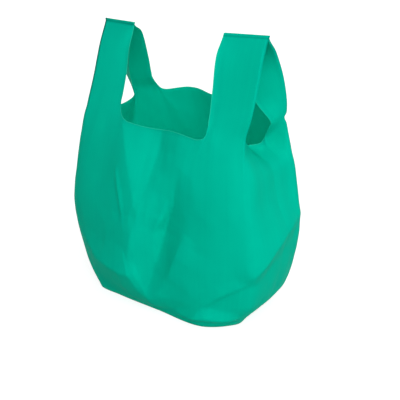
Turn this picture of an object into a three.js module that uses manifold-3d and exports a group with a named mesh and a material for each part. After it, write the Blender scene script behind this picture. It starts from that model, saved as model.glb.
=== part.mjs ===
// A plastic carrier bag with two loop handles, opened and standing on its base.
// Millimetres, +Z up, the origin at the middle of the base. The front panel faces -Y and the handles
// stand at +X and -X.
//
// The real bag is one blown tube of film. Its sides are tucked in as gussets, it is welded across the top
// and the bottom, and one U-shaped punch through the top leaves the handles. A place on the flat film is
// given here as s, the distance round the tube from the middle of a panel, and v, the distance up the
// tube from the bottom weld. The opened bag is a surface lofted over those two.

import * as THREE from "three";
import { mergeVertices } from "three/addons/utils/BufferGeometryUtils.js";
import Module from "manifold-3d";

// The flat film.
const PANEL_HALF = 152.5; // half the width of the front or back panel
const GUSSET_DEPTH = 89; // from a corner fold in to the gusset's middle fold
const TUBE_LENGTH = 559; // from the bottom weld to the top welds
const HANDLE_WIDTH = 66; // of a handle as it lies flat
const MOUTH_HEIGHT = 392; // of the punch's lowest edge, along the film
const PUNCH_RADIUS = 26; // of the punch's two lower corners
const BASE_DEPTH = 80; // film folded under at the front, and at the back, to make the base

// The wall is thicker than real film, which is about 0.02 mm.
const WALL = 0.5;
const WELD_HEIGHT = 7;
const WELD_TAIL = 5;
const SCORE = 0.2; // width and depth of the lines scored where film lies over film

// Places round the quarter tube where the film changes its run.
const PUNCH_EDGE = PANEL_HALF - HANDLE_WIDTH;
const CORNER_FOLD = PANEL_HALF;
const SLOT_EDGE = PANEL_HALF + HANDLE_WIDTH;
const MIDDLE_FOLD = PANEL_HALF + GUSSET_DEPTH;
const STRAP_START = MOUTH_HEIGHT + PUNCH_RADIUS;

// Where each of those lines runs when the bag stands open, as [v, x, y, z] for one quarter of the bag.
const LINES = [
  {
    s: 0,
    path: [
      [BASE_DEPTH, 0, 78, 0],
      [130, 0, 98, 45],
      [225, 0, 104, 138],
      [310, 0, 97, 222],
      [428, 0, 74, 330],
    ],
  },
  {
    s: PUNCH_EDGE,
    path: [
      [BASE_DEPTH, 78, 78, 0],
      [130, 84, 94, 45],
      [225, 87, 99, 138],
      [310, 85, 91, 220],
      [MOUTH_HEIGHT, 81, 76, 293],
      [428, 80, 66, 322],
      [470, 80, 50, 356],
      [515, 79, 27, 391],
      [TUBE_LENGTH, 81, 1.2, 417],
    ],
  },
  {
    s: CORNER_FOLD,
    path: [
      [BASE_DEPTH, 121, 56, 0],
      [130, 144, 66, 43],
      [225, 160, 71, 133],
      [310, 152, 68, 213],
      [MOUTH_HEIGHT, 143, 58, 289],
      [428, 145, 49, 320],
      [470, 147, 35, 355],
      [515, 147, 16, 391],
      [TUBE_LENGTH, 146, 0.8, 417],
    ],
  },
  {
    s: SLOT_EDGE,
    path: [
      [BASE_DEPTH, 123, 20, 0],
      [130, 154, 25, 42],
      [225, 172, 27, 131],
      [310, 154, 28, 207],
      [MOUTH_HEIGHT, 129, 26, 279],
      [428, 119, 22, 308],
      [470, 108, 13, 345],
      [515, 94, 6, 387],
      [TUBE_LENGTH, 81, 0.4, 417],
    ],
  },
  {
    s: MIDDLE_FOLD,
    path: [
      [BASE_DEPTH, 124, 0, 0],
      [130, 155, 0, 42],
      [225, 174, 0, 131],
      [310, 153, 0, 205],
      [428, 103, 0, 296],
    ],
  },
];
const FOLDED_FROM = 320; // below this height along the film the corner folds have been pushed out flat
const FOLDED_BY = 416; // and above this one they are as sharp as the factory made them

// How finely each stretch of film is divided.
const PANEL_STEPS = [0, 0.2, 0.4, 0.58, 0.72, 0.84, 0.94, 1];
const STRAP_STEPS = [0, 0.22, 0.5, 0.78, 0.95, 1];
const SLOT_STEPS = [0, 0.35, 0.7, 1];
const BODY_HEIGHTS = [0, 8, 18, 32, 50, 70, 95, 120, 145, 170, 195, 220, 245].map((h) => BASE_DEPTH + h);
const CUT_STEPS = 5;
const STRAP_ROWS = 9;
const BASE_RINGS = 3;

// The place at height v on a line's path: a curve through its points, with slopes from their neighbours.
function along(path, v) {
  const k = Math.max(0, path.findLastIndex(([at], i) => at <= v && i < path.length - 1));
  const [a, b] = [path[k], path[k + 1]];
  const slope = (i, axis) => {
    const [p, q] = [path[Math.max(0, i - 1)], path[Math.min(path.length - 1, i + 1)]];
    return (q[axis] - p[axis]) / (q[0] - p[0]);
  };
  const span = b[0] - a[0];
  const t = (v - a[0]) / span;
  return new THREE.Vector3(
    ...[1, 2, 3].map((axis) => hermite(a[axis], slope(k, axis) * span, b[axis], slope(k + 1, axis) * span, t)),
  );
}

function hermite(p, dp, q, dq, t) {
  const [t2, t3] = [t * t, t * t * t];
  return p * (2 * t3 - 3 * t2 + 1) + dp * (t3 - 2 * t2 + t) + q * (3 * t2 - 2 * t3) + dq * (t3 - t2);
}

// The film's place in space. Across the film it runs smoothly from line to line, but where a factory fold
// is still sharp the runs either side of it meet at an angle.
function film(s, v) {
  const at = LINES.map((line) => along(line.path, v));
  const fold = THREE.MathUtils.smoothstep(v, FOLDED_FROM, FOLDED_BY);
  const strap = THREE.MathUtils.smoothstep(v, MOUTH_HEIGHT, STRAP_START);
  const slope = (i, j) => at[j].clone().sub(at[i]).divideScalar(LINES[j].s - LINES[i].s);
  const [panelRun, gussetRun] = [slope(1, 2), slope(2, 3)];
  const middleRun = new THREE.Vector3(0, -Math.hypot(slope(3, 4).x, slope(3, 4).y), 0);
  const runs = [
    [slope(0, 1).setY(0), slope(0, 2).lerp(panelRun, strap)],
    [slope(0, 2).lerp(panelRun, strap), slope(1, 3).lerp(panelRun, fold)],
    [slope(1, 3).lerp(gussetRun, fold), slope(2, 4).lerp(gussetRun, strap)],
    [slope(2, 4).lerp(gussetRun, strap), middleRun.lerp(slope(3, 4), fold)],
  ];
  const k = Math.min(3, Math.max(0, LINES.findLastIndex((line) => line.s <= s)));
  const span = LINES[k + 1].s - LINES[k].s;
  const t = (s - LINES[k].s) / span;
  const place = (axis) =>
    hermite(at[k][axis], runs[k][0][axis] * span, at[k + 1][axis], runs[k][1][axis] * span, t);
  return new THREE.Vector3(place("x"), place("y"), place("z"));
}

// How high the film reaches at s, once the punch has cut it.
function cutHeight(s) {
  const intoCorner = PUNCH_RADIUS - Math.max(0, PUNCH_EDGE - s, s - SLOT_EDGE);
  if (intoCorner <= 0) return MOUTH_HEIGHT;
  return STRAP_START - Math.sqrt(PUNCH_RADIUS ** 2 - intoCorner ** 2);
}

// The columns of one quarter from the panel's middle to the gusset's, then all round the bag.
const between = (from, to, steps) => steps.map((t) => THREE.MathUtils.lerp(from, to, t));
const quarter = [
  ...between(0, PUNCH_EDGE, PANEL_STEPS).slice(0, -1),
  ...between(PUNCH_EDGE, CORNER_FOLD, STRAP_STEPS).slice(0, -1),
  ...between(SLOT_EDGE, CORNER_FOLD, STRAP_STEPS).reverse().slice(0, -1),
  ...between(SLOT_EDGE, MIDDLE_FOLD, SLOT_STEPS),
];
const QUARTER = quarter.length - 1;
const AROUND = 4 * QUARTER;
const STRAP_FIRST = quarter.indexOf(PUNCH_EDGE);
const STRAP_LAST = quarter.indexOf(SLOT_EDGE);
const BODY_ROWS = BODY_HEIGHTS.length - 1 + CUT_STEPS;

function columnOf(column) {
  const c = (column + AROUND) % AROUND;
  const q = Math.floor(c / QUARTER);
  const step = c % QUARTER;
  return {
    s: quarter[q % 2 === 0 ? step : QUARTER - step],
    side: q < 2 ? 1 : -1,
    face: q === 0 || q === 3 ? -1 : 1,
  };
}

// The place of a grid point on the middle of the wall. Rows below zero are the rings of the base.
function place(column, row) {
  const { s, side, face } = columnOf(column);
  let v = BODY_HEIGHTS[Math.max(0, row)];
  if (row >= BODY_HEIGHTS.length) {
    const t = (row - BODY_HEIGHTS.length + 1) / CUT_STEPS;
    v = THREE.MathUtils.lerp(BODY_HEIGHTS.at(-1), cutHeight(s), Math.min(1, t));
  }
  if (row > BODY_ROWS) v = THREE.MathUtils.lerp(STRAP_START, TUBE_LENGTH, (row - BODY_ROWS) / STRAP_ROWS);
  const p = film(s, v);
  if (row < 0) p.multiply(new THREE.Vector3(1 + 0.12 * row, 1 + row / BASE_RINGS, 0));
  return p.multiply(new THREE.Vector3(side, face, 1)).setZ(p.z + WALL / 2);
}

// The middle surface as points and faces. The innermost ring of the base closes along the bottom weld.
const points = [];
const faces = [];
const numbered = new Map();
function point(column, row) {
  const c = (column + AROUND) % AROUND;
  const facing = (2 * QUARTER - c + AROUND) % AROUND;
  const key = (row === -BASE_RINGS ? Math.min(c, facing) : c) + " " + row;
  if (!numbered.has(key)) {
    numbered.set(key, points.length);
    points.push(place(c, row));
  }
  return numbered.get(key);
}
function patch(firstColumn, lastColumn, firstRow, lastRow) {
  for (let c = firstColumn; c < lastColumn; c++)
    for (let r = firstRow; r < lastRow; r++) {
      const [a, b, d, e] = [point(c, r), point(c + 1, r), point(c + 1, r + 1), point(c, r + 1)];
      for (const face of [
        [a, b, d],
        [a, d, e],
      ])
        if (new Set(face).size === 3) faces.push(face);
    }
}
patch(0, AROUND, -BASE_RINGS, 0);
patch(0, AROUND, 0, BODY_ROWS);
for (const middle of [0, 2 * QUARTER]) {
  patch(middle + STRAP_FIRST, middle + STRAP_LAST, BODY_ROWS, BODY_ROWS + STRAP_ROWS);
  patch(middle - STRAP_LAST, middle - STRAP_FIRST, BODY_ROWS, BODY_ROWS + STRAP_ROWS);
}

// The wall: the middle surface moved out and in by half the thickness, with its cut edges closed.
function thicken() {
  const middle = new THREE.BufferGeometry().setFromPoints(points).setIndex(faces.flat());
  middle.computeVertexNormals();
  const normals = middle.getAttribute("normal");
  const shifted = (by) =>
    points.map((p, i) => {
      const q = new THREE.Vector3().fromBufferAttribute(normals, i).multiplyScalar(by).add(p);
      return p.z > WALL / 2 + 1e-6 ? q : q.setZ(p.z + Math.sign(-by) * (WALL / 2));
    });
  const count = points.length;
  const index = faces.flatMap(([a, b, c]) => [a, b, c, a + count, c + count, b + count]);
  const once = new Map();
  for (const [a, b, c] of faces)
    for (const [p, q] of [
      [a, b],
      [b, c],
      [c, a],
    ])
      if (!once.delete(q + " " + p)) once.set(p + " " + q, [p, q]);
  for (const [p, q] of once.values()) index.push(q, p, p + count, q, p + count, q + count);
  return new THREE.BufferGeometry()
    .setFromPoints([...shifted(WALL / 2), ...shifted(-WALL / 2)])
    .setIndex(index);
}

const wasm = await Module();
wasm.setup();
function solid(geometry) {
  const bare = geometry.clone();
  bare.deleteAttribute("normal");
  bare.deleteAttribute("uv");
  const merged = mergeVertices(bare, 1e-4);
  return new wasm.Manifold(
    new wasm.Mesh({
      numProp: 3,
      vertProperties: new Float32Array(merged.getAttribute("position").array),
      triVerts: new Uint32Array(merged.index.array),
    }),
  );
}
const box = (width, depth, height, x, y, z) =>
  solid(new THREE.BoxGeometry(width, depth, height).translate(x, y, z));

let bag = solid(thicken());

// Each top weld holds the four layers of one handle together.
const [weldInner, weldOuter] = [film(PUNCH_EDGE, TUBE_LENGTH), film(CORNER_FOLD, TUBE_LENGTH)];
for (const side of [1, -1])
  bag = bag.add(
    box(
      weldOuter.x - weldInner.x + WALL,
      2 * weldInner.y + WALL,
      WELD_HEIGHT,
      (side * (weldOuter.x + weldInner.x)) / 2,
      0,
      weldInner.z - WELD_HEIGHT / 2 + WALL,
    ),
  );

// Inside the base, the foot of each gusset lies flat as a triangle over the two panels.
const corner = film(CORNER_FOLD, BASE_DEPTH);
for (const side of [1, -1]) {
  const foot = new THREE.Shape([
    new THREE.Vector2(side * corner.x, -corner.y),
    new THREE.Vector2(side * corner.x, corner.y),
    new THREE.Vector2(side * (corner.x - corner.y), 0),
  ]);
  const layer = new THREE.ExtrudeGeometry(foot, { depth: WALL, bevelEnabled: false });
  bag = bag.add(solid(layer.translate(0, 0, WALL * 0.8)));
}

// Under the base, the bottom weld and its tail lie flat, scored along both edges.
for (const y of [0, WELD_TAIL])
  bag = bag.subtract(box(2 * corner.x - WELD_TAIL, SCORE, 2 * SCORE, 0, y, 0));

const { numProp, vertProperties, triVerts } = bag.getMesh();
const geometry = new THREE.BufferGeometry()
  .setAttribute("position", new THREE.BufferAttribute(Float32Array.from(vertProperties), numProp))
  .setIndex(new THREE.BufferAttribute(Uint32Array.from(triVerts), 1));
geometry.computeVertexNormals();

const greenFilm = new THREE.MeshStandardMaterial({
  color: 0x00b796,
  roughness: 0.45,
  metalness: 0,
  side: THREE.DoubleSide,
});
const mesh = new THREE.Mesh(geometry, greenFilm);
mesh.name = "bag";

const group = new THREE.Group();
group.add(mesh);
export default group;
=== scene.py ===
import math

import bmesh
import bpy
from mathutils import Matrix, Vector, noise


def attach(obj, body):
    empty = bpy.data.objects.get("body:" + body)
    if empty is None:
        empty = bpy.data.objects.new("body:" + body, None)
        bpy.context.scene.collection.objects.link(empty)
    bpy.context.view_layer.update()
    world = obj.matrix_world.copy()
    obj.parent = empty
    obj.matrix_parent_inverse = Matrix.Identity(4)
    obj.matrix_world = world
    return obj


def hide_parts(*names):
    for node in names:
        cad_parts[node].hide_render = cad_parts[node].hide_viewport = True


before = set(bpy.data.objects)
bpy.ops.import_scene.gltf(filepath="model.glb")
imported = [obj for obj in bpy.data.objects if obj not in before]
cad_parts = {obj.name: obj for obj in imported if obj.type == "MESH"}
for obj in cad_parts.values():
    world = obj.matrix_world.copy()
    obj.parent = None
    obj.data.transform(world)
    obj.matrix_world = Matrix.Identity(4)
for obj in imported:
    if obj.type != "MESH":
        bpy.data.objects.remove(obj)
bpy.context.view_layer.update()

# The carrier bag is one tube of thin green polyethylene film, blown without a seam, with its sides tucked
# in as gussets. It is welded to itself across the bottom and across the top of each handle, and punched
# once, which leaves the two handles and the mouth between them.
#
# A place on the flat film is s, the distance round the tube from the middle of the front panel, and v, the
# height above the film's lower end. Lengths on the film, and in all the tables, are millimetres.
PANEL_HALF = 152.5
GUSSET_DEPTH = 89
TUBE_LENGTH = 559
HALF_AROUND = 2 * (PANEL_HALF + GUSSET_DEPTH)
TUBE_AROUND = 2 * HALF_AROUND
MIDDLE_FOLD = PANEL_HALF + GUSSET_DEPTH

# The punch leaves handles of this width, and rounds the corners between them and the mouth.
HANDLE_WIDTH = 66
MOUTH_HEIGHT = 392
PUNCH_RADIUS = 26
PUNCH_EDGE = PANEL_HALF - HANDLE_WIDTH
SLOT_EDGE = PANEL_HALF + HANDLE_WIDTH
STRAP_START = MOUTH_HEIGHT + PUNCH_RADIUS

# The bottom weld runs along a tail of film, and each top weld a little below the film's upper end. The film
# below BASE_DEPTH is folded flat as the base.
WELD_TAIL = 9
BOTTOM_WELD_AT = 5
TOP_WELD_AT = 555
BASE_DEPTH = 80

# Where the film's own lines run on the opened bag, going round it from the middle of the front panel, each
# as (v, x, y, z) points. Edge lines run up the sides of the handles, corner lines along the outer folds,
# slot lines up to the inner edges of the handles, and middle lines up the gussets.
LINES = [
    ("front middle", [
        (80, 0, -78, 0), (130, 0, -95, 45), (225, 2, -106, 138), (310, 8, -98, 221), (392, 18, -80, 292),
        (428, 22, -70, 322)]),
    ("front right edge", [
        (80, 78, -77, 0), (130, 84, -90, 46), (225, 88, -98, 138), (310, 86, -92, 218), (392, 86, -80, 288),
        (428, 88, -70, 314), (470, 84, -57, 348), (515, 78, -41, 388), (555, 77, -24, 413),
        (559, 77, -22.5, 416.5)]),
    ("front right corner", [
        (80, 118, -44, 0), (130, 142, -62, 44), (225, 156, -74, 134), (310, 148, -74, 214),
        (392, 138, -62, 286), (428, 146, -60, 322), (470, 148, -50, 360), (515, 145, -34, 394),
        (555, 140.5, -16, 414), (559, 140, -14.5, 417.5)]),
    ("right slot, front", [
        (80, 121, -16, 0), (130, 152, -22, 42), (225, 167, -24, 130), (310, 153, -26, 206),
        (350, 145, -26, 243), (392, 113, -22, 276), (428, 108, -18, 310), (470, 100, -12, 352),
        (515, 86, -14, 392), (555, 77.5, -23.6, 413), (559, 77.5, -21.6, 416.5)]),
    ("right middle", [
        (80, 121, 2, 0), (130, 153, 2, 42), (225, 167, 2, 130), (310, 151, 2, 205), (350, 141, 2, 241),
        (396, 101, 0, 265), (428, 94, 0, 296)]),
    ("right slot, back", [
        (80, 121, 20, 0), (130, 152, 26, 42), (225, 166, 28, 130), (310, 150, 30, 206),
        (350, 143, 29, 240), (392, 114, 28, 266), (418, 128, 20, 294), (446, 113, 5, 323),
        (470, 107, -6, 351), (515, 89, -11, 390), (555, 77.5, -23.2, 413), (559, 77.5, -21, 416.5)]),
    ("back right corner", [
        (80, 118, 56, 0), (130, 138, 68, 38), (225, 156, 66, 128), (310, 150, 60, 210), (392, 140, 44, 290),
        (428, 142, 38, 322), (470, 142, 24, 360), (515, 141, 4, 394), (555, 140.8, -15.2, 414),
        (559, 140.5, -13, 417.5)]),
    ("back right edge", [
        (80, 78, 78, 0), (130, 84, 94, 46), (225, 88, 97, 138), (310, 84, 88, 220), (392, 74, 74, 300),
        (428, 72, 64, 330), (470, 74, 44, 366), (515, 76, 14, 396), (555, 77, -22.8, 413),
        (559, 77, -20, 416.5)]),
    ("back middle", [
        (80, 0, 78, 0), (130, 0, 97, 45), (225, -2, 102, 138), (310, -8, 96, 223), (392, -18, 80, 302),
        (428, -22, 72, 334)]),
    ("back left edge", [
        (80, -78, 78, 0), (130, -84, 94, 46), (225, -92, 97, 138), (310, -100, 90, 222), (392, -112, 76, 300),
        (418, -115, 62, 321), (470, -109, 46, 354), (515, -98, 20, 396), (555, -86, -9.8, 412),
        (559, -86, -8.6, 415.5)]),
    ("back left corner", [
        (80, -124, 50, 0), (130, -144, 66, 43), (225, -160, 70, 134), (310, -156, 68, 216),
        (392, -152, 60, 292), (428, -156, 46, 322), (470, -157, 32, 360), (515, -154, 14, 396),
        (555, -148, -3.6, 413), (559, -148.2, -3, 416.5)]),
    ("left slot, back", [
        (80, -126, 20, 0), (130, -156, 26, 42), (225, -174, 28, 132), (310, -158, 30, 210),
        (392, -128, 28, 286), (422, -119, 22, 301), (470, -118, 12, 344), (515, -104, 2, 386),
        (555, -86, -10.2, 412), (559, -86, -9.8, 415.5)]),
    ("left middle", [
        (80, -126, 0, 0), (130, -158, 0, 42), (225, -178, 0, 132), (310, -160, 0, 206), (396, -126, 0, 290),
        (428, -118, 0, 314)]),
    ("left slot, front", [
        (80, -126, -24, 0), (130, -156, -26, 42), (225, -176, -26, 132), (310, -160, -26, 210),
        (392, -136, -22, 282), (428, -122, -20, 312), (470, -110, -14, 352), (515, -97, -10, 390),
        (555, -86, -10.6, 412), (559, -86, -10.8, 415.5)]),
    ("front left corner", [
        (80, -124, -72, 0), (130, -156, -68, 44), (225, -170, -74, 132), (310, -158, -72, 210),
        (392, -144, -62, 286), (470, -143, -40, 342), (515, -145.5, -22, 382), (555, -147.5, -4.4, 413),
        (559, -147.5, -5, 416.5)]),
    ("front left edge", [
        (80, -76, -78, 0), (130, -80, -96, 46), (225, -80, -104, 138), (310, -76, -94, 218),
        (392, -68, -74, 292), (428, -68, -60, 322), (470, -72, -46, 350), (515, -80, -30, 380),
        (555, -85.5, -11, 412), (559, -85.5, -12, 415.5)]),
]
LINE_AT = []
for start in (0, HALF_AROUND):
    for side in (0, PUNCH_EDGE, PANEL_HALF, SLOT_EDGE, MIDDLE_FOLD):
        LINE_AT.append(start + side)
    for side in (SLOT_EDGE, PANEL_HALF, PUNCH_EDGE):
        LINE_AT.append(start + HALF_AROUND - side)
LINE_AT.append(TUBE_AROUND)


def smooth(low, high, value):
    """0 up to low, 1 from high on, and an even curve between them."""
    t = min(1.0, max(0.0, (value - low) / (high - low)))
    return t * t * (3 - 2 * t)


def hermite(p, dp, q, dq, t):
    """The curve from p, leaving it along dp, to q, reaching it along dq."""
    t2, t3 = t * t, t * t * t
    return p * (2 * t3 - 3 * t2 + 1) + dp * (t3 - 2 * t2 + t) + q * (3 * t2 - 2 * t3) + dq * (t3 - t2)


def along(path, v):
    """The place at height v on one line's path, with each point's slope taken from its neighbours."""
    last = len(path) - 1
    v = min(v, path[-1][0])
    k = max(i for i in range(last) if path[i][0] <= v or i == 0)

    def slope(i):
        p, q = path[max(0, i - 1)], path[min(last, i + 1)]
        return (Vector(q[1:]) - Vector(p[1:])) / (q[0] - p[0])

    span = path[k + 1][0] - path[k][0]
    return hermite(Vector(path[k][1:]), slope(k) * span, Vector(path[k + 1][1:]), slope(k + 1) * span,
                   (v - path[k][0]) / span)


def sharpness(line, v):
    """How far the film bends at a line instead of curving past it: 1 is a crisp fold or a cut edge."""
    outer_fold = line % 4 == 2
    gusset_middle = line % 8 == 4
    cut_edge = line % 2 == 1
    if outer_fold:
        return smooth(335, 415, v)
    if gusset_middle:
        return smooth(375, 415, v)
    if cut_edge:
        return smooth(MOUTH_HEIGHT, STRAP_START, v)
    return 0


def opened(s, v):
    """Where the film at (s, v) lies on the opened bag, as a curve drawn round it through the lines."""
    s %= TUBE_AROUND
    k = max(i for i in range(16) if LINE_AT[i] <= s)
    at = {i: along(LINES[i % 16][1], v) for i in range(k - 1, k + 3)}

    def slope(i, j):
        return (at[j] - at[i]) / ((LINE_AT[j % 16] - LINE_AT[i % 16]) % TUBE_AROUND)

    own = slope(k, k + 1)
    leaving = slope(k - 1, k + 1).lerp(own, sharpness(k, v))
    reaching = slope(k, k + 2).lerp(own, sharpness(k + 1, v))
    span = LINE_AT[k + 1] - LINE_AT[k]
    return hermite(at[k], leaving * span, at[k + 1], reaching * span, (s - LINE_AT[k]) / span)


def from_middle(s):
    """How far s is, round the film, from the middle of the nearer panel."""
    q = s % HALF_AROUND
    return min(q, HALF_AROUND - q)


def cut_height(s):
    """How high the film reaches at s once the punch has gone through."""
    q = from_middle(s)
    into_corner = PUNCH_RADIUS - max(0.0, PUNCH_EDGE - q, q - SLOT_EDGE)
    if into_corner <= 0:
        return MOUTH_HEIGHT
    return STRAP_START - math.sqrt(PUNCH_RADIUS ** 2 - into_corner ** 2)


# The base is folded flat as film folds there. The tail is turned forward under the front panel's foot, and
# each gusset's foot lies on the panels' feet in two layers, a small gap apart. The lower layer rises to its
# gap over FOLD_RISE of film, and the upper one over a twelfth of the base's depth.
BASE_HALF = 120
FLOOR_GAP = 0.3
TAIL_HEIGHT = 0.4
TAIL_THICKNESS = 0.6
TAIL_GAP = 0.1
LAYER_GAP = 0.5
FOLD_RISE = 6
UPPER_RISE = 12


def on_panel_foot(s, v):
    """A place on the front or back panel's foot, which lies on the floor from the tail to the bag's edge."""
    edge = opened(s, BASE_DEPTH)
    front = s < HALF_AROUND / 2 or s > 1.5 * HALF_AROUND
    across = min(s, TUBE_AROUND - s) if front else abs(s - HALF_AROUND)
    x = (1 if edge.x > 0 else -1) * BASE_HALF * across / PANEL_HALF
    if v < WELD_TAIL:
        apart = 0.15 if front else -0.1
        return Vector((x, v - WELD_TAIL, TAIL_HEIGHT + apart * smooth(0, WELD_TAIL, v)))
    t = (v - WELD_TAIL) / (BASE_DEPTH - WELD_TAIL)
    over_tail = TAIL_THICKNESS * (1 - smooth(WELD_TAIL, 3 * WELD_TAIL, v)) if front else 0
    return Vector((x + (edge.x - x) * t, edge.y * t, FLOOR_GAP + over_tail))


def foot(s, v):
    """Inside the base: a gusset's foot is folded back on the panel's, and over again on its diagonal."""
    inward = from_middle(s) - PANEL_HALF
    if inward <= 0:
        return on_panel_foot(s, v)
    corner = min((PANEL_HALF, HALF_AROUND - PANEL_HALF, HALF_AROUND + PANEL_HALF, TUBE_AROUND - PANEL_HALF),
                 key=lambda c: abs(c - s))
    to_panel = 1 if corner > s else -1
    t = v / BASE_DEPTH
    fold = 1 - inward / GUSSET_DEPTH
    layer = TAIL_GAP + (LAYER_GAP - TAIL_GAP) * smooth(WELD_TAIL, 2 * WELD_TAIL, v)
    if t < fold:
        spot = on_panel_foot(corner + to_panel * inward, v)
        spot.z += layer * min(1, inward / FOLD_RISE)
        return spot
    spot = on_panel_foot(corner + to_panel * GUSSET_DEPTH * (1 - t), BASE_DEPTH * fold)
    spot.z += layer * (1 + min(1, (t - fold) * UPPER_RISE))
    return spot.lerp(opened(s, BASE_DEPTH), t ** 4)


# The grid of film has its columns on the lines, ACROSS of them from each line to the next. Its rows are
# counted up to the end of the tail, of the base, of the body, of the rows that bend to follow the punch,
# and of all.
ACROSS = [40, 16, 14, 7, 7, 14, 16, 40] * 2
TAIL_ROWS, BASE_ROWS, BODY_ROWS, CUT_ROWS, ALL_ROWS = 4, 27, 102, 126, 164
BODY_TOP = 325
columns = []
for line, steps in enumerate(ACROSS):
    for step in range(steps):
        columns.append(LINE_AT[line] + (LINE_AT[line + 1] - LINE_AT[line]) * step / steps)
columns.append(TUBE_AROUND)


def row_height(row, s):
    """The height v of a row of the grid at s."""
    if row <= TAIL_ROWS:
        return WELD_TAIL * row / TAIL_ROWS
    if row <= BASE_ROWS:
        return WELD_TAIL + (BASE_DEPTH - WELD_TAIL) * (row - TAIL_ROWS) / (BASE_ROWS - TAIL_ROWS)
    if row <= BODY_ROWS:
        return BASE_DEPTH + (BODY_TOP - BASE_DEPTH) * (row - BASE_ROWS) / (BODY_ROWS - BASE_ROWS)
    if row <= CUT_ROWS:
        return BODY_TOP + (cut_height(s) - BODY_TOP) * (row - BODY_ROWS) / (CUT_ROWS - BODY_ROWS)
    return STRAP_START + (TUBE_LENGTH - STRAP_START) * (row - CUT_ROWS) / (ALL_ROWS - CUT_ROWS)


film = bmesh.new()
on_film = film.loops.layers.uv.new("film")
from_edge = film.verts.layers.float.new("from_edge")
bmesh.ops.create_grid(film, x_segments=len(columns) - 1, y_segments=ALL_ROWS, size=0.5)
cell = {}
for vert in film.verts:
    cell[vert] = (columns[round((vert.co.x + 0.5) * (len(columns) - 1))], round((vert.co.y + 0.5) * ALL_ROWS))
punched = []
for face in film.faces:
    q = from_middle(sum(cell[vert][0] for vert in face.verts) / 4)
    row = sum(cell[vert][1] for vert in face.verts) / 4
    if row > CUT_ROWS and (q < PUNCH_EDGE or q > SLOT_EDGE):
        punched.append(face)
bmesh.ops.delete(film, geom=punched, context="FACES")
flat = {}
for vert in film.verts:
    s, row = cell[vert]
    v = row_height(row, s)
    flat[vert] = (s, v)
    vert.co = (foot(s, v) if row < BASE_ROWS else opened(s, v)) * 0.001
for face in film.faces:
    for loop in face.loops:
        s, v = flat[loop.vert]
        loop[on_film].uv = (s / TUBE_AROUND, v / TUBE_LENGTH)
bmesh.ops.remove_doubles(film, verts=film.verts, dist=0.00001)

# Creases in the film, each (reach on its right, reach on its left, path). The path's points are
# (s, v, height), and right and left are as met going along it on the bag's outside. A crease stands out, or
# in where its height is negative, as a line with a hollow flank each side.
CREASES = [
    # The long ridge, down from the left of the mouth, and the hollow beside it.
    (76, 62, [(-82, 404, 0), (-70, 386, 5), (-42, 329, 8), (-18, 267, 9), (-13, 250, 8), (-24, 214, 8),
              (-28, 184, 9), (-18, 153, 9), (-4, 115, 9), (2, 98, 6), (6, 84, 0)]),
    (50, 60, [(-4, 404, 0), (-3, 388, -4), (0, 354, -7), (-2, 329, -7), (-6, 290, -5), (-6, 255, -3),
              (-2, 232, 0)]),
    # The long hollow down the middle of the front panel, in two depths, with a thin fold along its upper
    # edge and a low ridge on its far side.
    (18, 5, [(40, 302, 0), (37, 280, 2.6), (31, 266, 3.6), (22, 250, 3.6), (12, 229, 0)]),
    (10, 50, [(37, 292, 0), (32, 262, -4), (25, 234, -6), (20, 206, -4), (13, 178, 0)]),
    (56, 90, [(56, 336, 0), (46, 310, -4), (38, 284, -9), (32, 258, -12), (25, 232, -13), (20, 205, -11),
              (9, 166, -8), (0, 138, -4), (-3, 118, 0)]),
    (26, 70, [(68, 240, 0), (60, 224, 3.5), (52, 200, 6), (41, 168, 6), (15, 132, 2.5), (0, 112, 0)]),
    # A thin fold left of the long ridge, and the wide fold low down on the left.
    (5, 8, [(-64, 324, 0), (-62, 308, 1.6), (-52, 280, 2), (-45, 257, 1.6), (-38, 218, 0)]),
    (50, 46, [(-136, 192, 0), (-100, 156, 8), (-54, 154, 10), (-30, 156, 8), (-14, 162, 0)]),
    # The fold low round the right gusset, on down the front panel to the base, and the crushed strip there.
    (60, 34, [(320, 258, 0), (296, 256, 4), (255, 249, 8), (223, 238, 11), (190, 219, 10), (159, 196, 7),
              (140, 184, 0)]),
    (20, 5, [(156, 184, 0), (148, 179, 2), (119, 157, 4), (100, 135, 4), (81, 108, 3), (60, 95, 0)]),
    (18, 20, [(34, 93, 0), (50, 97, 4), (71, 99, 7), (98, 108, 9), (130, 106, 7), (158, 102, 0)]),
    # A short fold across, between the long ridge and the long hollow.
    (30, 40, [(-18, 264, 0), (-10, 262, 2.4), (2, 260, 2.4), (14, 258, 0)]),
    # Soft creases in the back panel, and then in the left gusset.
    (30, 40, [(548, 300, 0), (538, 272, 4), (534, 240, 6), (542, 205, 6), (556, 170, 5), (570, 130, 0)]),
    (30, 24, [(497, 300, 0), (500, 264, -5), (510, 230, -6), (524, 195, -5), (530, 158, 0)]),
    (24, 30, [(608, 192, 0), (566, 168, 4), (530, 140, 4), (500, 112, 3), (474, 94, 0)]),
    (26, 26, [(724, 376, 0), (716, 330, -4), (700, 290, -6), (690, 240, -4), (686, 206, 0)]),
    (50, 50, [(640, 262, 0), (690, 246, 5), (730, 232, 7), (770, 216, 6), (810, 200, 0)]),
    # What is left of the outer folds below the handles, and of the fold down the middle of each gusset.
    (7, 7, [(152.5, 404, 0), (152.5, 388, 1.2), (151, 360, 1), (149, 330, 0)]),
    (7, 7, [(330.5, 404, 0), (330.5, 388, 1.2), (332, 360, 1), (334, 330, 0)]),
    (7, 7, [(635.5, 404, 0), (635.5, 388, 1.2), (634, 350, 1), (632, 300, 0)]),
    (7, 7, [(813.5, 404, 0), (813.5, 388, 1.2), (815, 350, 1), (817, 300, 0)]),
    (8, 8, [(241.5, 392, 0), (241.5, 370, -0.6), (241.5, 240, -0.8), (241.5, 110, -1), (241.5, 92, 0)]),
    (8, 8, [(724.5, 392, 0), (724.5, 370, -1), (724.5, 240, -1), (724.5, 110, -1), (724.5, 92, 0)]),
]
CREST = 1.4

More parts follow.
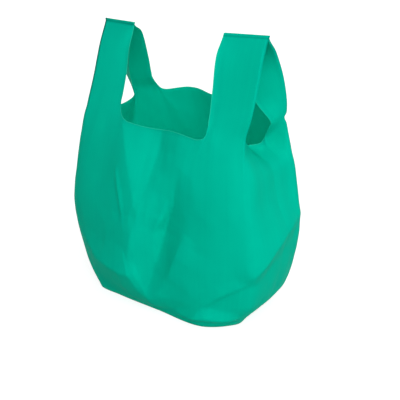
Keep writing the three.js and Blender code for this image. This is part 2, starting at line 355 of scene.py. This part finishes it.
# Soft pushes, each (s, v, reach along s, reach along v, (x, y, z)): the wave and the left corner in the
# back of the mouth, the nick in the right handle's outline, the right corner and the hang of the front of
# the mouth, and the foot of the right slot.
PUSHES = [
    (516, 392, 42, 90, (1, 7, 5)),
    (552, 395, 27, 45, (-12, 0, -4)),
    (330.5, 402, 9, 9, (-3, 0, 0)),
    (65, 394, 25, 60, (8, 0, -2)),
    (82, 404, 15, 24, (2.5, 0, -3.5)),
    (-36, 392, 60, 60, (0, 0, -4)),
    (254, 396, 11, 40, (7, 0, -2)),
]


def shorter_way(s):
    """s as a distance either way round the film, from minus half the tube to half of it."""
    return (s + HALF_AROUND) % TUBE_AROUND - HALF_AROUND


def pushed_out(s, v):
    """How far the creases move the film at (s, v) along its own outward direction."""
    total = 0.0
    for right, left, points in CREASES:
        reach = max(right, left) + CREST
        middle = (points[0][0] + points[-1][0]) / 2
        near_s = shorter_way(s - middle) + middle
        if not min(p[0] for p in points) - reach < near_s < max(p[0] for p in points) + reach:
            continue
        if not min(p[1] for p in points) - reach < v < max(p[1] for p in points) + reach:
            continue
        tallest = max(abs(p[2]) for p in points)
        best = None
        for (s1, v1, h1), (s2, v2, h2) in zip(points, points[1:]):
            ds, dv = s2 - s1, v2 - v1
            t = min(1.0, max(0.0, ((near_s - s1) * ds + (v - v1) * dv) / (ds * ds + dv * dv)))
            off_s, off_v = near_s - s1 - t * ds, v - v1 - t * dv
            off = math.hypot(off_s, off_v)
            if best is None or off < best[0]:
                best = (off, h1 + (h2 - h1) * t, ds * off_v - dv * off_s)
        off, height, side = best
        width = (left if side > 0 else right) * (0.4 + 0.6 * abs(height) / tallest)
        rounded = math.hypot(off, CREST) - CREST
        if rounded < width:
            total += height * (1 - rounded / width) ** 1.5
    return total


def pushed(s, v):
    """How far, and which way, the soft pushes move the film at (s, v)."""
    total = Vector()
    for at_s, at_v, reach_s, reach_v, push in PUSHES:
        off = (shorter_way(s - at_s) / reach_s) ** 2 + ((v - at_v) / reach_v) ** 2
        if off < 1:
            total += Vector(push) * (1 - off) ** 2
    return total


ROUND_TUBE_RADIUS = 154


def rumpled(s, v):
    """The film's own unevenness, in broad soft swells and smaller ones, drawn out a little up the bag."""
    turn = 2 * math.pi * s / TUBE_AROUND
    place = Vector((math.cos(turn) * ROUND_TUBE_RADIUS, math.sin(turn) * ROUND_TUBE_RADIUS, v * 0.7))
    return 1.3 * noise.noise(place / 55) + 0.45 * noise.noise(place / 17)


def to_cut_edge(s, v):
    """How far the film at (s, v) is from the punched edge."""
    q = from_middle(s)
    if PUNCH_EDGE <= q <= SLOT_EDGE:
        if v > STRAP_START:
            return min(q - PUNCH_EDGE, SLOT_EDGE - q)
        return math.hypot(min(q - PUNCH_EDGE, SLOT_EDGE - q), STRAP_START - v)
    corner_s = max(PUNCH_EDGE - q, q - SLOT_EDGE)
    if corner_s < PUNCH_RADIUS and v > MOUTH_HEIGHT - PUNCH_RADIUS:
        return abs(math.hypot(PUNCH_RADIUS - corner_s, STRAP_START - v) - PUNCH_RADIUS)
    return MOUTH_HEIGHT - v


# The creases and the unevenness grow from the base's edge up to CREASED_FROM, are calmer in the handles,
# and die away over CREASED_TO, below the top welds. The cut edge flares out by EDGE_FLARE over the last
# FLARE_REACH of film. No film is moved below LOWEST, in metres.
CREASED_FROM = 104
HANDLE_CALM = 0.6
CREASED_TO = (515, 545)
EDGE_FLARE = 1.0
FLARE_REACH = 6
LOWEST = 0.0003
film.normal_update()
moves = {}
for vert in film.verts:
    s, v = flat[vert]
    edge_gap = to_cut_edge(s, v)
    vert[from_edge] = max(0.0, edge_gap) * 0.001
    flare = EDGE_FLARE * max(0.0, 1 - edge_gap / FLARE_REACH) ** 2
    calm = 1 - HANDLE_CALM * smooth(MOUTH_HEIGHT, STRAP_START, v)
    move = (pushed_out(s, v) + rumpled(s, v) * calm) * smooth(BASE_DEPTH, CREASED_FROM, v)
    move += flare * smooth(300, 380, v)
    move *= 1 - smooth(*CREASED_TO, v)
    moves[vert] = (vert.normal * move + pushed(s, v)) * 0.001
for vert, move in moves.items():
    vert.co += move
    vert.co.z = max(vert.co.z, LOWEST)
for edge in film.edges:
    if edge.is_boundary:
        edge.smooth = False
for face in film.faces:
    face.smooth = True
mesh = bpy.data.meshes.new("bag_film")
film.to_mesh(mesh)
film.free()
bag = bpy.data.objects.new("bag_film", mesh)
bpy.context.collection.objects.link(bag)
# The wall is 0.2 mm thick, ten times as thick as real film, so that its two faces stay apart.
wall = bag.modifiers.new("wall", "SOLIDIFY")
wall.thickness = 0.0002
wall.offset = 0


# The film's colour and surface: green polyethylene with a satin face, which lets a little light through. It
# carries faint streaks along the way it was blown, fine wrinkles, a painted highlight along the cut edges
# that stands in for the thin line of light they catch, and a darker pressed band at each weld.
def node(tree, kind, **settings):
    """A new node in a material's tree or the world's, with its settings."""
    made = tree.nodes.new(kind)
    for name, value in settings.items():
        setattr(made, name, value)
    return made


def reckoned(tree, operation, *values):
    """The outcome of a Math node, each of whose values is a number or another node's output."""
    made = node(tree, "ShaderNodeMath", operation=operation)
    for socket, value in zip(made.inputs, values):
        if isinstance(value, (int, float)):
            socket.default_value = value
        else:
            tree.links.new(value, socket)
    return made.outputs[0]


def stretched(tree, place, factors):
    """A place multiplied along each of its directions."""
    made = node(tree, "ShaderNodeVectorMath", operation="MULTIPLY")
    made.inputs[1].default_value = factors
    tree.links.new(place, made.inputs[0])
    return made.outputs[0]


def noisy(tree, place, **settings):
    """A noise over a place, with the settings that are given."""
    made = node(tree, "ShaderNodeTexNoise")
    for name, value in settings.items():
        made.inputs[name].default_value = value
    tree.links.new(place, made.inputs["Vector"])
    return made.outputs["Fac"]


def fading(tree, value, start, end, most):
    """Most where the value is start or less, falling evenly to 0 where it is end or more."""
    made = node(tree, "ShaderNodeMapRange")
    made.inputs["From Min"].default_value = start
    made.inputs["From Max"].default_value = end
    made.inputs["To Min"].default_value = most
    made.inputs["To Max"].default_value = 0.0
    tree.links.new(value, made.inputs["Value"])
    return made.outputs["Result"]


def painted(tree, under, over, share):
    """One colour over another, by a share of 0 to 1."""
    made = node(tree, "ShaderNodeMix", data_type="RGBA")
    tree.links.new(share, made.inputs[0])
    tree.links.new(under, made.inputs[6])
    made.inputs[7].default_value = over
    return made.outputs[2]


green = bpy.data.materials.new("green_film")
green.use_nodes = True
tree = green.node_tree
shader = tree.nodes["Principled BSDF"]
shader.inputs["Roughness"].default_value = 0.5
shader.inputs["Specular IOR Level"].default_value = 0.015
shader.inputs["Specular Tint"].default_value = (0.3, 1.0, 0.8, 1)

on_flat = stretched(tree, node(tree, "ShaderNodeUVMap", uv_map="film").outputs["UV"],
                    (TUBE_AROUND, TUBE_LENGTH, 0))
streaks = noisy(tree, stretched(tree, on_flat, (0.22, 0.004, 0)), Scale=1, Detail=3)
clouds = noisy(tree, node(tree, "ShaderNodeTexCoord").outputs["Object"], Scale=14, Detail=2)
uneven = reckoned(tree, "MULTIPLY_ADD", streaks, 0.6, reckoned(tree, "MULTIPLY", clouds, 0.4))
tone = node(tree, "ShaderNodeValToRGB")
tone.color_ramp.elements[0].position = 0.3
tone.color_ramp.elements[0].color = (0.0, 0.52, 0.39, 1)
tone.color_ramp.elements[1].position = 0.7
tone.color_ramp.elements[1].color = (0.0, 0.58, 0.435, 1)
tree.links.new(uneven, tone.inputs["Fac"])

edge_gap = node(tree, "ShaderNodeAttribute", attribute_name="from_edge").outputs["Fac"]
# Painted highlight: the colour turns paler near the punched edges, standing in for the light that these edges
# catch.
edge_highlight_share = fading(tree, edge_gap, 0.0002, 0.0011, 0.7)
with_edge_highlights = painted(tree, tone.outputs["Color"], (0.05, 0.72, 0.52, 1), edge_highlight_share)

film_v = node(tree, "ShaderNodeSeparateXYZ")
tree.links.new(on_flat, film_v.inputs[0])
weld_gaps = []
for weld_at in (TOP_WELD_AT, BOTTOM_WELD_AT):
    above = reckoned(tree, "SUBTRACT", film_v.outputs["Y"], weld_at)
    weld_gaps.append(reckoned(tree, "ABSOLUTE", above))
weld_share = fading(tree, reckoned(tree, "MINIMUM", *weld_gaps), 0.9, 1.6, 0.45)
with_welds = painted(tree, with_edge_highlights, (0.0, 0.28, 0.2, 1), weld_share)
tree.links.new(with_welds, shader.inputs["Base Color"])

wrinkles = noisy(tree, stretched(tree, on_flat, (0.11, 0.045, 0)), Scale=1, Detail=4, Roughness=0.55)
surface = node(tree, "ShaderNodeBump")
surface.inputs["Strength"].default_value = 0.16
surface.inputs["Distance"].default_value = 0.001
tree.links.new(wrinkles, surface.inputs["Height"])
tree.links.new(surface.outputs["Normal"], shader.inputs["Normal"])

light_through = node(tree, "ShaderNodeBsdfTranslucent")
light_through.inputs["Color"].default_value = (0.0, 0.8, 0.64, 1)
thin = node(tree, "ShaderNodeMixShader")
thin.inputs["Fac"].default_value = 0.5
tree.links.new(shader.outputs["BSDF"], thin.inputs[1])
tree.links.new(light_through.outputs["BSDF"], thin.inputs[2])
tree.links.new(thin.outputs["Shader"], tree.nodes["Material Output"].inputs["Surface"])
mesh.materials.append(green)
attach(bag, "root")
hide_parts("bag")

# The floor is a wide pale sheet under the bag, which isn't part of it. The camera sees it as white, apart
# from the bag's shadow, and so would glass and metal.
FLOOR_HALF = 6
sweep = bmesh.new()
bmesh.ops.create_grid(sweep, x_segments=1, y_segments=1, size=FLOOR_HALF)
sweep_mesh = bpy.data.meshes.new("floor")
sweep.to_mesh(sweep_mesh)
sweep.free()
ground = bpy.data.objects.new("floor", sweep_mesh)
bpy.context.collection.objects.link(ground)
pale = bpy.data.materials.new("pale_floor")
pale.use_nodes = True
tree = pale.node_tree
matt = tree.nodes["Principled BSDF"]
matt.inputs["Base Color"].default_value = (0.35, 0.35, 0.35, 1)
matt.inputs["Roughness"].default_value = 0.9
matt.inputs["Emission Color"].default_value = (1, 1, 1, 1)
rays = node(tree, "ShaderNodeLightPath").outputs
shown = reckoned(tree, "MAXIMUM", rays["Is Camera Ray"], rays["Is Glossy Ray"])
shown = reckoned(tree, "MAXIMUM", shown, rays["Is Transmission Ray"])
tree.links.new(reckoned(tree, "MULTIPLY", shown, 0.75), matt.inputs["Emission Strength"])
sweep_mesh.materials.append(pale)

# The world is an even white studio. It lights the bag at half strength and is seen at full strength. Light
# that the film itself lets through counts as lighting, so diffuse rays are taken off the transmitted ones.
world = bpy.data.worlds.new("studio")
bpy.context.scene.world = world
world.use_nodes = True
tree = world.node_tree
backdrop = tree.nodes["Background"]
backdrop.inputs["Color"].default_value = (1, 1, 1, 1)
rays = node(tree, "ShaderNodeLightPath").outputs
through_clear = reckoned(tree, "SUBTRACT", rays["Is Transmission Ray"], rays["Is Diffuse Ray"])
shown = reckoned(tree, "MAXIMUM", rays["Is Camera Ray"], rays["Is Glossy Ray"])
shown = reckoned(tree, "MAXIMUM", shown, through_clear)
tree.links.new(reckoned(tree, "MULTIPLY_ADD", shown, 0.5, 0.5), backdrop.inputs["Strength"])

# One very wide lamp shines from the right, the front and above.
sun = bpy.data.lights.new("key", "SUN")
sun.energy = 3.4
sun.angle = math.radians(70)
key = bpy.data.objects.new("key", sun)
key.rotation_mode = "QUATERNION"
key.rotation_quaternion = Vector((-0.7, 0.5, -0.5)).to_track_quat("-Z", "Y")
bpy.context.collection.objects.link(key)

# The camera stands to the right of the bag's front and looks down on it a little.
camera_data = bpy.data.cameras.new("camera")
camera_data.lens = 60.5
camera_data.sensor_width = 36
camera = bpy.data.objects.new("camera", camera_data)
azimuth, elevation = math.radians(35.7), math.radians(22.6)
towards_camera = Vector((math.sin(azimuth) * math.cos(elevation), -math.cos(azimuth) * math.cos(elevation),
                         math.sin(elevation)))
camera.location = (0.5688, -0.7597, 0.551)
camera.rotation_mode = "QUATERNION"
camera.rotation_quaternion = (-towards_camera).to_track_quat("-Z", "Y")
bpy.context.collection.objects.link(camera)
bpy.context.scene.camera = camera
bpy.context.scene.view_settings.view_transform = "Standard"
